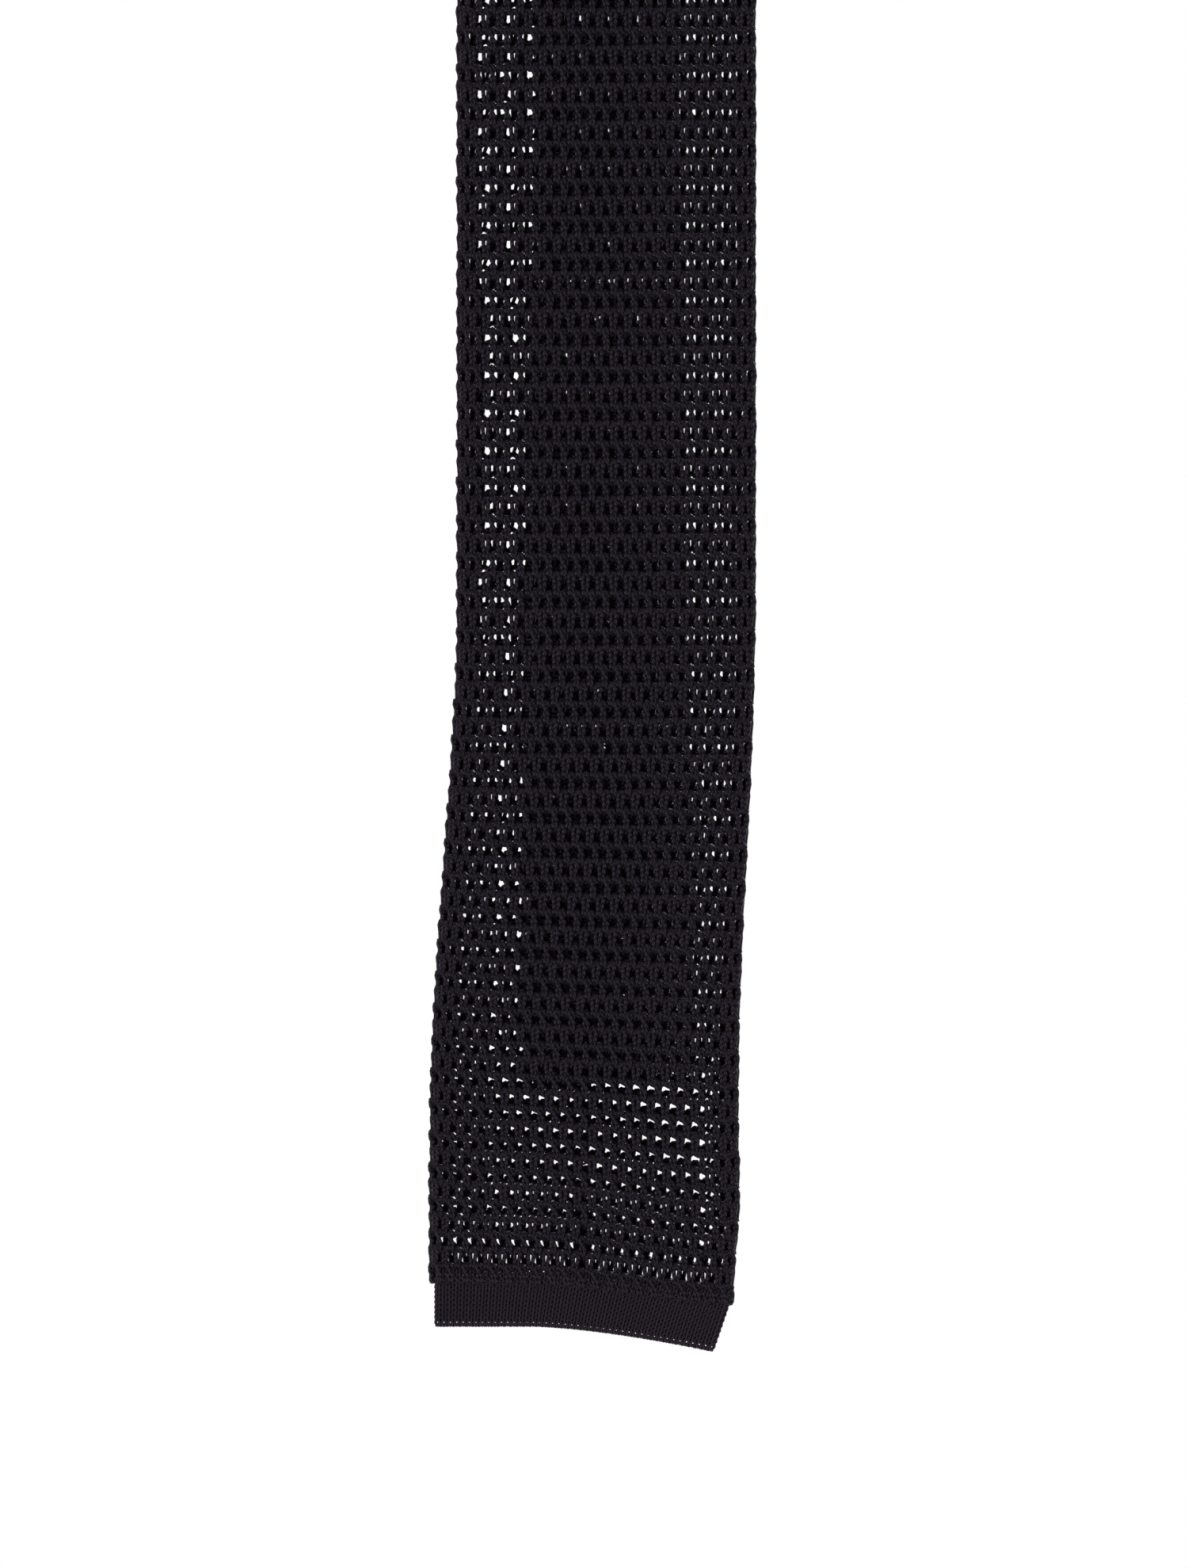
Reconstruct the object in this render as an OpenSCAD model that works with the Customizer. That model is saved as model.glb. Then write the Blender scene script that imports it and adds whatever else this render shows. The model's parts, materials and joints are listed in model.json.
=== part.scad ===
// Silk knit necktie, hung folded over a bar: the wide blade in front, the narrow tail behind.
// Millimetres, +Z up, blade facing -Y. The origin is on the axis of the bar that holds the tie up.
// "Drop" is the distance below the bar's axis. Each knit piece is one stretch of a flattened tube.

/* [Hanger bar] */
// Radius of the bar under the fold of the neck
bar_r = 6; // [5:0.5:12]

/* [Knit] */
// Thickness of the flattened knit tube
knit_t = 3.2; // [2.8:0.1:4.5]
// Thickness of one layer of the knit
layer_t = 0.9; // [0.6:0.05:0.9]
// Gap left between two stretches of knit where the tie bends
bend_gap = 0.5; // [0.4:0.1:1]

/* [Neck] */
// Width of the neck
neck_w = 28; // [22:1:34]
// Drop of both ends of the neck piece
neck_drop = 60; // [50:5:90]
// Width of the stay tape inside the neck
tape_w = 16; // [10:1:18]
// Thickness of the stay tape
tape_t = 0.5; // [0.3:0.1:0.7]
// Drop of both ends of the stay tape
tape_drop = 45; // [20:5:48]

/* [Blade] */
// Drop of the blade's lowest corner
blade_len = 750; // [620:10:900]
// Width of the blade above its flare
blade_w = 57.4; // [47:0.2:70]
// Width of the blade just above the hem
blade_end_w = 60; // [49:0.5:72]
// Drop where the neck starts to widen into the blade
taper_from = 75; // [65:5:110]
// Drop where the blade reaches its full width
taper_to = 270; // [200:10:320]
// Height of the flare towards the end
blade_flare = 130; // [80:10:160]
// Length of the end of the blade that curls up
tip_len = 200; // [160:10:220]
// Length of the stretch above it, down to where the tip curls
lower_len = 250; // [200:10:260]
// Sideways drift of the hanging end
sway = 4.2; // [0:0.2:8]
// Height above the end where the drift starts
sway_from_end = 145; // [100:5:150]
// Height above the end where the drift is complete
sway_to_end = 45; // [20:5:60]

/* [Blade hem] */
// Width of the hem at its top
hem_w = 57.6; // [46:0.2:60]
// Height of the hem at its short side
hem_h = 8; // [5:0.5:12]
// How much lower the long side hangs
hem_skew = 4.8; // [0:0.2:8]
// How far the long side slants in
hem_slant = 4; // [0:0.5:8]
// Share of the bottom edge that stays level before it slopes down
hem_level = 0.35; // [0.2:0.05:0.6]
// Thickness of the hem
hem_t = 2; // [1.6:0.1:2.6]
// Thickness of one layer of the hem
hem_layer = 0.6; // [0.4:0.05:0.7]

/* [Tail] */
// Drop of the tail's lowest corner
tail_len = 700; // [580:10:840]
// Width of the tail's end
tail_end_w = 34; // [28:1:42]
// Height of the tail's flare
tail_flare = 180; // [100:10:220]
// Length of the end of the tail that folds up
tail_lower_len = 320; // [200:10:340]
// Height of the tail hem
tail_hem_h = 7; // [5:0.5:10]
// How much lower one side of the tail hem hangs
tail_hem_skew = 2.5; // [0:0.5:5]
// Step in from the tail's edge to its hem
tail_hem_step = 0.8; // [0:0.1:2]

/* [Keeper loop] */
// Height of the keeper's lower edge above the blade's end
keeper_from_end = 300; // [280:5:330]
// Height of the keeper band
keeper_h = 12; // [8:1:20]
// Thickness of the keeper band
keeper_t = 0.8; // [0.5:0.1:1.2]
// Free space between the blade and the keeper
keeper_gap = 5.6; // [4.8:0.1:6]
// Side clearance between the keeper and the tail's end
keeper_clear = 3; // [1:0.5:5]
// Length of each sewn foot of the keeper
keeper_foot = 3; // [2:0.5:5]

/* [Label and care tag] */
// Width of the blank label
label_w = 40; // [20:1:44]
// Height of the blank label
label_h = 20; // [10:1:24]
// Thickness of the label and of the tag
label_t = 0.4; // [0.3:0.1:0.6]
// Space between the keeper and the label above it
label_space = 12; // [6:1:20]
// Width of the care tag
tag_w = 16; // [10:1:20]
// Length of the care tag
tag_h = 28; // [15:1:30]
// Distance of the care tag's middle from the back seam
tag_x = 13; // [12:0.5:16]
// Clearance of the care tag from the blade's back
tag_clear = 0.4; // [0.3:0.1:1]

/* [Stitches] */
// Thickness of the sewing thread
thread_t = 0.5; // [0.3:0.1:0.6]
// Spacing of the back seam's stitches
seam_pitch = 6; // [4:0.5:10]
// Length of one stitch of the back seam
seam_stitch = 3.2; // [2:0.2:4]
// Slant of the back seam's stitches, in degrees
seam_slant = 35; // [0:5:60]
// Spacing of the linking stitches across a hem or the neck
link_pitch = 2.7; // [2:0.1:5]
// Width of one linking stitch
link_w = 1.4; // [0.8:0.1:1.6]

/* [Hidden] */
$fn = 96;

knit_colour = [0.08, 0.075, 0.085];
hem_colour = [0.12, 0.11, 0.125];
thread_colour = [0.3, 0.28, 0.32];
tape_colour = [0.2, 0.2, 0.22];
label_colour = [0.15, 0.15, 0.17];
tag_colour = [0.9, 0.89, 0.86];

front = -1;                                 // side of the bar that the blade hangs on
rear = 1;                                   // side of the bar that the tail hangs on
mid_y = bar_r + knit_t / 2;                 // middle of either leg, from the bar's axis
void_t = knit_t - 2 * layer_t;              // space inside the flattened tube
curl_drop = blade_len - tip_len;            // where the tip curls
fold_drop = curl_drop - lower_len;          // where the blade folds in half
tail_fold_drop = tail_len - tail_lower_len; // where the tail folds
hem_top = blade_len - hem_skew - hem_h;     // drop of the blade hem's top
tail_hem_top = tail_len - tail_hem_skew - tail_hem_h;
sway_from = blade_len - sway_from_end;
sway_to = blade_len - sway_to_end;
sway_steps = 6;                             // straight pieces that make up the drift's curve
keeper_low = blade_len - keeper_from_end;   // drop of the keeper's lower edge
keeper_top = keeper_low - keeper_h;
keeper_half = tail_end_w / 2 + keeper_clear; // half the free width under the keeper
keeper_bow = 4;                             // power of the keeper's arch, 2 is an ellipse
label_low = keeper_top - label_space;
label_top = label_low - label_h;
tag_space = 4;                              // from the keeper down to the care tag
tag_top = keeper_low + tag_space;
link_arc = 16;                              // degrees of the fold that a neck stitch spans
through = 1;                                // how far a cut runs past a face

// Straight line from a to b as v goes from v0 to v1, level on both sides of it
function ramp(v, v0, v1, a, b) =
    v <= v0 ? a : v >= v1 ? b : a + (b - a) * (v - v0) / (v1 - v0);

// Slow at both ends, quick in the middle
function ease(s) = s * s * (3 - 2 * s);

// Half width and middle of the blade at a drop
function blade_half(v) = v < taper_to
    ? ramp(v, taper_from, taper_to, neck_w / 2, blade_w / 2)
    : ramp(v, blade_len - blade_flare, hem_top, blade_w / 2, blade_end_w / 2);
function blade_mid(v) = -sway * ease(ramp(v, sway_from, sway_to, 0, 1));

// Half width of the tail at a drop
function tail_half(v) = ramp(v, tail_len - tail_flare, tail_hem_top, neck_w / 2, tail_end_w / 2);

// Drops where an outline turns
blade_turns = concat(
    [taper_from, taper_to, blade_len - blade_flare],
    [for (i = [0:sway_steps]) sway_from + (sway_to - sway_from) * i / sway_steps]
);
tail_turns = [tail_len - tail_flare];

// The two ends of a stretch with the turns between them, from the top down
function between(v0, v1, turns) =
    concat([v0], [for (v = turns) if (v > v0 && v < v1) v], [v1]);
function smallest(list) = min([for (v = list) v]);
function sorted(list) = len(list) < 2 ? list :
    let (low = smallest(list))
    concat([low], sorted([for (v = list) if (v > low) v]));

// Front view of a stretch of blade or tail, its sides moved in by inset
function blade_outline(v0, v1, inset = 0) = let (stops = sorted(between(v0, v1, blade_turns)), n = len(stops))
    concat(
        [for (v = stops) [blade_mid(v) - blade_half(v) + inset, -v]],
        [for (i = [n - 1:-1:0]) [blade_mid(stops[i]) + blade_half(stops[i]) - inset, -stops[i]]]
    );
function tail_outline(v0, v1, inset = 0) = let (stops = sorted(between(v0, v1, tail_turns)), n = len(stops))
    concat(
        [for (v = stops) [-tail_half(v) + inset, -v]],
        [for (i = [n - 1:-1:0]) [tail_half(stops[i]) - inset, -stops[i]]]
    );

// Front view of the blade hem: level top, bottom edge that slopes down to the long side
hem_steps = 10;
function hem_drop(s) = blade_len - hem_skew + hem_skew * pow(max(0, (s - hem_level) / (1 - hem_level)), 1.5);
function hem_outline(inset = 0, rise = 0) = let (x0 = blade_mid(hem_top) - hem_w / 2 + inset, w = hem_w - 2 * inset)
    concat(
        [[x0, rise - hem_top]],
        [for (i = [0:hem_steps]) let (s = i / hem_steps) [x0 + (w - hem_slant) * s, inset - hem_drop(s)]],
        [[x0 + w, rise - hem_top]]
    );

// Front view of the tail hem, one side lower than the other
function tail_hem_outline(inset = 0, rise = 0) = let (half = tail_end_w / 2 - tail_hem_step - inset)
    [[-half, rise - tail_hem_top], [-half, inset - tail_len],
     [half, inset - tail_len + tail_hem_skew], [half, rise - tail_hem_top]];

// A front view given a thickness, centred on a leg
module upright(side, thickness, outline) {
    translate([0, side * mid_y + thickness / 2, 0])
        rotate([90, 0, 0])
            linear_extrude(thickness) polygon(outline);
}

// A stretch of flattened tube, open where the inner outline runs past the outer one
module flat_tube(side, outer, inner, outer_t, inner_t) {
    difference() {
        upright(side, outer_t, outer);
        upright(side, inner_t, inner);
    }
}

module blade_stretch(v0, v1) {
    flat_tube(front, blade_outline(v0, v1), blade_outline(v0 - through, v1 + through, layer_t), knit_t, void_t);
}

module tail_stretch(v0, v1) {
    flat_tube(rear, tail_outline(v0, v1), tail_outline(v0 - through, v1 + through, layer_t), knit_t, void_t);
}

// Part of a ring round the bar's axis, centred on its top
module over_bar(inner_r, thickness, width, arc = 180) {
    rotate([0, 90, 0]) rotate([0, 0, 180 - arc / 2])
        rotate_extrude(angle = arc)
            translate([inner_r, -width / 2]) square([thickness, width]);
}

// A band folded over the bar, with a straight leg down each side
module folded_band(inner_r, thickness, width, drop) {
    over_bar(inner_r, thickness, width);
    for (side = [front, rear])
        translate([-width / 2, side * (inner_r + thickness / 2) - thickness / 2, -drop])
            cube([width, thickness, drop]);
}

// Slanted stitches down the middle of a leg's back, each standing on the knit
function seam_stops(v0, v1, skip) =
    [for (v = [v0 + seam_pitch / 2:seam_pitch:v1 - seam_pitch / 2]) if (v < skip[0] || v > skip[1]) v];

module seam_stitches(side, stops) {
    for (v = stops)
        translate([side == front ? blade_mid(v) : 0, side * (bar_r - thread_t / 2), -v])
            rotate([0, seam_slant, 0])
                cube([seam_stitch, thread_t, thread_t * 1.6], center = true);
}

// A row of stitches across a hem's top, on its front and on its back
module linking_row(side, middle, width, top) {
    count = floor((width - link_w) / link_pitch);
    for (i = [0:count], face = [-1, 1])
        translate([
            middle + (i - count / 2) * link_pitch - link_w / 2,
            side * mid_y + face * (hem_t + thread_t) / 2 - thread_t / 2,
            -top - thread_t * 1.6
        ])
            cube([link_w, thread_t, thread_t * 1.6]);
}

// Half width a and height b of a soft arch, as points from one foot to the other
arch_steps = 24;
function soft_arch(a, b) = [for (i = [0:arch_steps]) let (t = 180 * i / arch_steps, c = cos(t))
    [a * sign(c) * pow(abs(c), 2 / keeper_bow), b * pow(max(0, sin(t)), 2 / keeper_bow)]];

module neck_knit() {
    color(knit_colour)
        difference() {
            folded_band(bar_r, knit_t, neck_w, neck_drop - bend_gap / 2);
            folded_band(bar_r + layer_t, void_t, neck_w - 2 * layer_t, neck_drop + through);
        }
}

module neck_stay_tape() {
    color(tape_colour)
        folded_band(mid_y - tape_t / 2, tape_t, tape_w, tape_drop);
}

module neck_join_seam() {
    count = floor((neck_w - link_w) / link_pitch);
    color(thread_colour)
        for (i = [0:count])
            translate([(i - count / 2) * link_pitch, 0, 0])
                over_bar(bar_r + knit_t, thread_t, link_w, link_arc);
}

module neck_back_seam() {
    color(thread_colour)
        for (side = [front, rear])
            seam_stitches(side, seam_stops(2 * bar_r, neck_drop - bend_gap, [0, 0]));
}

module blade_upper_knit() {
    color(knit_colour) blade_stretch(neck_drop + bend_gap / 2, fold_drop - bend_gap / 2);
}

module blade_lower_knit() {
    color(knit_colour) blade_stretch(fold_drop + bend_gap / 2, curl_drop - bend_gap / 2);
}

module blade_tip_knit() {
    color(knit_colour) blade_stretch(curl_drop + bend_gap / 2, hem_top);
}

module blade_upper_seam() {
    color(thread_colour) seam_stitches(front, seam_stops(neck_drop, fold_drop, [0, 0]));
}

module blade_lower_seam() {
    color(thread_colour)
        seam_stitches(front, seam_stops(fold_drop, curl_drop, [label_top - seam_stitch, label_low + seam_stitch]));
}

module blade_tip_seam() {
    color(thread_colour) seam_stitches(front, seam_stops(curl_drop, hem_top, [0, 0]));
}

module blade_hem() {
    color(hem_colour)
        flat_tube(front, hem_outline(), hem_outline(hem_layer, through), hem_t, hem_t - 2 * hem_layer);
}

module blade_hem_linking() {
    color(thread_colour) linking_row(front, blade_mid(hem_top), hem_w - 2 * link_w, hem_top);
}

module keeper_loop() {
    arch = concat(
        soft_arch(keeper_half + keeper_t, keeper_gap + keeper_t),
        [for (i = [arch_steps:-1:0]) soft_arch(keeper_half, keeper_gap)[i]]
    );
    color(hem_colour)
        translate([0, -bar_r, -keeper_low])
            linear_extrude(keeper_h) {
                polygon(arch);
                for (x = [keeper_half, -keeper_half - keeper_t - keeper_foot])
                    translate([x, 0]) square([keeper_t + keeper_foot, keeper_t]);
            }
}

module keeper_tacks() {
    tacks = 3;
    color(thread_colour)
        for (side = [-1, 1], i = [0:tacks - 1])
            translate([
                side * (keeper_half + keeper_t + keeper_foot / 2),
                keeper_t - bar_r + thread_t / 2,
                -keeper_low + keeper_h * (i + 0.5) / tacks
            ])
                cube([keeper_foot * 0.6, thread_t, thread_t], center = true);
}

module blank_label() {
    color(label_colour)
        translate([-label_w / 2, -bar_r, -label_low]) cube([label_w, label_t, label_h]);
}

module label_stitches() {
    count = floor(label_h / link_pitch) - 1;
    inset = 1;                                 // from the label's edge to its stitches
    color(thread_colour)
        for (side = [-1, 1], i = [0:count])
            translate([
                side * (label_w / 2 - inset), label_t - bar_r + thread_t / 4,
                -(label_top + label_low) / 2 + (i - count / 2) * link_pitch
            ])
                cube([thread_t, thread_t / 2, link_w], center = true);
}

module care_tag() {
    color(tag_colour)
        translate([tag_x - tag_w / 2, tag_clear - bar_r, -tag_top - tag_h]) cube([tag_w, label_t, tag_h]);
}

module care_tag_tack() {
    color(thread_colour)
        for (side = [-1, 0, 1])
            translate([tag_x + side * tag_w / 3, thread_t / 2 - bar_r, bend_gap + thread_t / 2 - tag_top])
                cube([seam_stitch, thread_t, thread_t], center = true);
}

module tail_upper_knit() {
    color(knit_colour) tail_stretch(neck_drop + bend_gap / 2, tail_fold_drop - bend_gap / 2);
}

module tail_lower_knit() {
    color(knit_colour) tail_stretch(tail_fold_drop + bend_gap / 2, tail_hem_top);
}

module tail_upper_seam() {
    color(thread_colour) seam_stitches(rear, seam_stops(neck_drop, tail_fold_drop, [0, 0]));
}

module tail_lower_seam() {
    color(thread_colour) seam_stitches(rear, seam_stops(tail_fold_drop, tail_hem_top, [0, 0]));
}

module tail_hem() {
    color(hem_colour)
        flat_tube(rear, tail_hem_outline(), tail_hem_outline(hem_layer, through), hem_t, hem_t - 2 * hem_layer);
}

module tail_hem_linking() {
    color(thread_colour) linking_row(rear, 0, tail_end_w - 2 * tail_hem_step - link_w, tail_hem_top);
}

neck_knit();
neck_stay_tape();
neck_join_seam();
neck_back_seam();
blade_upper_knit();
blade_lower_knit();
blade_tip_knit();
blade_upper_seam();
blade_lower_seam();
blade_tip_seam();
blade_hem();
blade_hem_linking();
keeper_loop();
keeper_tacks();
blank_label();
label_stitches();
care_tag();
care_tag_tack();
tail_upper_knit();
tail_lower_knit();
tail_upper_seam();
tail_lower_seam();
tail_hem();
tail_hem_linking();
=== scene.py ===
import json
import math

import bpy
import numpy as np
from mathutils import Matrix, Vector


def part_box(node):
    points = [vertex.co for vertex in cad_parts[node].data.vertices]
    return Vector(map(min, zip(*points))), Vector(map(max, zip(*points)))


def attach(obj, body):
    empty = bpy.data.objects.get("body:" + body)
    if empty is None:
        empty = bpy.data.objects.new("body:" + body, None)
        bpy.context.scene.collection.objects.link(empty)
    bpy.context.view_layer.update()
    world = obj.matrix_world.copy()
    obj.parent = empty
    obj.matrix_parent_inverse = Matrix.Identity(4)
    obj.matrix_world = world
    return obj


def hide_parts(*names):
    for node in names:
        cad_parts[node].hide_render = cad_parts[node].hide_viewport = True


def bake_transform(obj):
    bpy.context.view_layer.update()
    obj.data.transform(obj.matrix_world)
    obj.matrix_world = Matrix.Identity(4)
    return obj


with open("model.json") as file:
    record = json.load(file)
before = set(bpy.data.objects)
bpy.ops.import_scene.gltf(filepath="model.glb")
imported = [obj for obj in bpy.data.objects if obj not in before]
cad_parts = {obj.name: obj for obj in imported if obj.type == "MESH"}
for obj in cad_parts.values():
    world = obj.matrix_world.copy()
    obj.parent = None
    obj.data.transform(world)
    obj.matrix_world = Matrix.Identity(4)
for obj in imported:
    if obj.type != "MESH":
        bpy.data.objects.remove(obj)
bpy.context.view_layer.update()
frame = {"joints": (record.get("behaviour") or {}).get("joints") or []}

mm = 0.001                          # shapes are worked out in millimetres and made in metres
front, rear = -1, 1                 # side of the bar that the blade and the tail hang on
randoms = np.random.default_rng(7)  # one seeded source, so every run is the same


def boxOf(node):
    # lowest and highest corner of a CAD node, in millimetres
    low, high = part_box(node)
    return np.array(low) / mm, np.array(high) / mm


def bendDrop(joint):
    # how far below the bar's axis a joint's line runs, in millimetres
    return next(-j["pos_m"][2] / mm for j in frame["joints"] if j["name"] == joint)


# Shape of the tie in millimetres. A drop is the distance below the bar's axis. The sizes come from the CAD
# nodes' boxes, and the places where the widths turn are the CAD model's own.
neckHigh = boxOf("neck_knit")[1]
legLow, legHigh = boxOf("blade_lower_knit")
tipLow = boxOf("blade_tip_knit")[0]
hemLow, hemHigh = boxOf("blade_hem")
tailLow, tailHigh = boxOf("tail_lower_knit")
tailHemLow, tailHemHigh = boxOf("tail_hem")

tie = {
    "mid": -(legHigh[1] + legLow[1]) / 2,      # bar's axis to the middle of a leg
    "back": -legHigh[1],                       # bar's axis to the legs' inner faces
    "neckHalf": neckHigh[0],
    "bladeHalf": legHigh[0],
    "bladeEndHalf": 30.0,
    "taperFrom": 75.0,
    "taperTo": 270.0,
    "flareFrom": 620.0,
    "swayBy": 4.2,                             # the hanging end drifts to one side
    "swayFrom": 605.0,
    "swayTo": 705.0,
    "hemTop": -tipLow[2],
    "bladeEnd": -hemLow[2],
    "tailEndHalf": tailHigh[0],
    "tailFlareFrom": 520.0,
    "tailHemTop": -tailLow[2],
    "tailEnd": -tailHemLow[2],
    "drawnIn": 0.65,                           # half of what the hem draws the right edge in by
    "drawnFrom": 17.0,                         # and how far above the hem that starts
}


def ease(x, x0, x1):
    # 0 up to x0, 1 from x1, and slow at both ends of the way between them
    t = np.clip((x - x0) / (x1 - x0), 0, 1)
    return t * t * (3 - 2 * t)


def drawnIn(drop):
    # the hem is tighter than the mesh and draws the right edge in
    return tie["drawnIn"] * ease(drop, tie["hemTop"] - tie["drawnFrom"], tie["hemTop"])


def bladeHalf(drop):
    # half the blade's width: neck, taper, level stretch, slight flare above the hem
    turns = [tie["taperFrom"], tie["taperTo"], tie["flareFrom"], tie["hemTop"]]
    level = np.interp(drop, turns, [tie["neckHalf"], tie["bladeHalf"], tie["bladeHalf"], tie["bladeEndHalf"]])
    return level - drawnIn(drop)


def bladeMid(drop):
    # middle of the blade, which drifts sideways towards its end
    return -tie["swayBy"] * ease(drop, tie["swayFrom"], tie["swayTo"]) - drawnIn(drop)


def tailHalf(drop):
    return np.interp(drop, [tie["tailFlareFrom"], tie["tailHemTop"]], [tie["neckHalf"], tie["tailEndHalf"]])


def tailMid(drop):
    return 0 * drop


def overBar(side, across, drop, out):
    # A point of the cloth: straight down below the bar's axis, and where the drop is negative, round the bar:
    # y = side (mid + out) cos turn, z = (mid + out) sin turn, with turn = -drop / mid.
    turn = np.maximum(-drop, 0) / tie["mid"]
    y = side * (tie["mid"] + out) * np.cos(turn)
    z = np.where(drop < 0, (tie["mid"] + out) * np.sin(turn), -drop)
    return np.stack(np.broadcast_arrays(across, y, z), axis=-1)


def outward(side, alongX, out, drop):
    # the same for a direction: its part across the tie, and its part away from the bar
    turn = np.maximum(-drop, 0) / tie["mid"]
    return np.stack(np.broadcast_arrays(alongX, side * out * np.cos(turn), out * np.sin(turn)), axis=-1)


def halfRound(half, foldR):
    # distance round the flattened tube from the middle of its face to the middle of its back
    return 2 * (half - foldR) + np.pi * foldR


def roundTube(around, half, foldR):
    # Cross-section of the flattened tube. around = 0 is the middle of its face, half the outer half width.
    # Flat face, half circle of foldR at each edge, flat back. Returns across, out and the outward normal.
    flat = half - foldR
    size, hand = np.abs(around), np.sign(around)
    bend = np.clip((size - flat) / foldR, 0, np.pi)
    across = np.minimum(size, flat) + foldR * np.sin(bend) - np.maximum(size - flat - np.pi * foldR, 0)
    return hand * across, foldR * np.cos(bend), hand * np.sin(bend), np.cos(bend)


# ---- meshes ----
def makeRings(name, points, length, acrossUv, alongUv, material):
    # Closed surfaces, one for each row of points (rows, rings, sides, 3): each ring is joined to the next by
    # faces, and the first and last ring are filled in. length holds the number of rings that each row uses.
    # The uv is acrossUv round a ring (sides + 1 values) and alongUv (rows, rings) from ring to ring.
    rows, rings, sides = points.shape[:3]
    used = np.arange(rings)[None, :] < length[:, None]
    number = (np.cumsum(used.repeat(sides, axis=1).ravel()) - 1).reshape(rows, rings, sides)
    joined = used[:, 1:]
    beside = np.roll(np.arange(sides), -1)
    corners = [number[:, :-1], number[:, :-1, beside], number[:, 1:, beside], number[:, 1:]]
    faces = np.stack(corners, axis=-1)[joined].reshape(-1, 4)
    alongUv = np.broadcast_to(alongUv, (rows, rings))
    near = np.broadcast_to(alongUv[:, :-1, None], (rows, rings - 1, sides))[joined].ravel()
    far = np.broadcast_to(alongUv[:, 1:, None], (rows, rings - 1, sides))[joined].ravel()
    left = np.tile(acrossUv[:-1], len(near) // sides)
    right = np.tile(acrossUv[1:], len(near) // sides)
    faceUv = np.stack([left, near, right, near, right, far, left, far], axis=-1).reshape(-1, 4, 2)
    ends = np.concatenate([number[:, 0, ::-1], number[np.arange(rows), length - 1]])
    endUv = np.stack([np.tile(acrossUv[:-1], (2 * rows, 1)), np.zeros((2 * rows, sides))], axis=-1)
    vertices = points[used].reshape(-1, 3)
    corner = vertices[faces] - vertices.mean(axis=0)
    if np.sum(np.cross(corner[:, 1], corner[:, 2]) * corner[:, 0]) < 0:
        # inside out, so every face is turned round
        faces, faceUv, ends = faces[:, ::-1], faceUv[:, ::-1], ends[:, ::-1]
    loops = np.concatenate([faces.ravel(), ends.ravel()])
    counts = np.concatenate([np.full(len(faces), 4), np.full(len(ends), sides)])
    mesh = bpy.data.meshes.new(name)
    mesh.vertices.add(len(vertices))
    mesh.vertices.foreach_set("co", (vertices * mm).astype(np.float32).ravel())
    mesh.loops.add(len(loops))
    mesh.loops.foreach_set("vertex_index", loops.astype(np.int32))
    mesh.polygons.add(len(counts))
    mesh.polygons.foreach_set("loop_start", (np.cumsum(counts) - counts).astype(np.int32))
    mesh.polygons.foreach_set("loop_total", counts.astype(np.int32))
    mesh.polygons.foreach_set("use_smooth", counts == 4)
    layer = mesh.uv_layers.new(name="yarn")
    layer.data.foreach_set("uv", np.concatenate([faceUv.ravel(), endUv.ravel()]).astype(np.float32))
    mesh.materials.append(material)
    mesh.update()
    mesh.validate()
    piece = bpy.data.objects.new(name, mesh)
    bpy.context.scene.collection.objects.link(piece)
    return piece


def makeThreads(name, centre, normal, length, radius, sides, alongUv, material):
    # Round threads along the rows of centre (rows, rings, 3). Each ring is
    # centre + radius (cos a up + sin a side), where side is direction x normal and up is side x direction.
    rings = centre.shape[1]
    along = np.gradient(centre, axis=1)
    lastStep = np.minimum(np.arange(rings)[None, :], length[:, None] - 2)[..., None]
    along = np.take_along_axis(along, lastStep, axis=1)
    along /= np.linalg.norm(along, axis=-1, keepdims=True)
    side = np.cross(along, normal)
    side /= np.linalg.norm(side, axis=-1, keepdims=True)
    up = np.cross(side, along)
    angle = 2 * np.pi * np.arange(sides)[:, None] / sides
    ring = np.cos(angle) * up[:, :, None] + np.sin(angle) * side[:, :, None]
    return makeRings(name, centre[:, :, None] + radius * ring, length, np.arange(sides + 1) / sides, alongUv,
                     material)


def makeBand(name, path, widthways, thickways, outline, alongUv, material):
    # Flat band: outline (sides, 2) holds distances across its width and through its thickness, and is set up
    # at each point of path along the directions widthways and thickways.
    points = path[:, None] + outline[..., :1] * widthways + outline[..., 1:] * thickways
    width = outline[0, :, 0] if outline.ndim == 3 else outline[:, 0]
    acrossUv = np.append(width, width[0])
    return makeRings(name, points[None], np.array([len(path)]), acrossUv, alongUv[None], material)


def bandOutline(width, thick, steps):
    # flat top and bottom with half-round edges
    edge = np.pi * (np.arange(5) + 0.5) / 5
    flat = np.linspace(-1, 1, steps) * (width - thick) / 2
    top = np.stack([flat, np.full(steps, thick / 2)], axis=-1)
    right = np.stack([flat[-1] + thick / 2 * np.sin(edge), thick / 2 * np.cos(edge)], axis=-1)
    return np.concatenate([top, right, -top, -right])


def throughPoints(points, samples):
    # Smooth repeating curve through given points, which moves on by one stitch each time. Each stretch
    # is the cubic whose slope at a point is half the step between the point's neighbours.
    points = np.asarray(points, float)
    step = np.array([1.0, 0.0, 0.0])
    padded = np.concatenate([points[-1:] - step, points, points[:2] + step])
    t = np.arange(samples) * len(points) / samples
    i = t.astype(int)
    f = (t - i)[:, None]
    a, b, c, d = (padded[i + k] for k in range(4))
    return b + f / 2 * (c - a + f * (2 * a - 5 * b + 4 * c - d + f * (3 * (b - c) + d - a)))


def follow(piece, bend):
    # the piece rides on one body; where it crosses a joint's line its transform is only baked in
    upper, lower, drop = bend
    if lower is None:
        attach(piece, upper)
        return
    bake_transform(piece)


# ---- materials ----
def linear(hexColour):
    # sRGB hex to linear light
    values = [int(hexColour[i:i + 2], 16) / 255 for i in (1, 3, 5)]
    return [v / 12.92 if v <= 0.04045 else ((v + 0.055) / 1.055) ** 2.4 for v in values] + [1.0]


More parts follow.
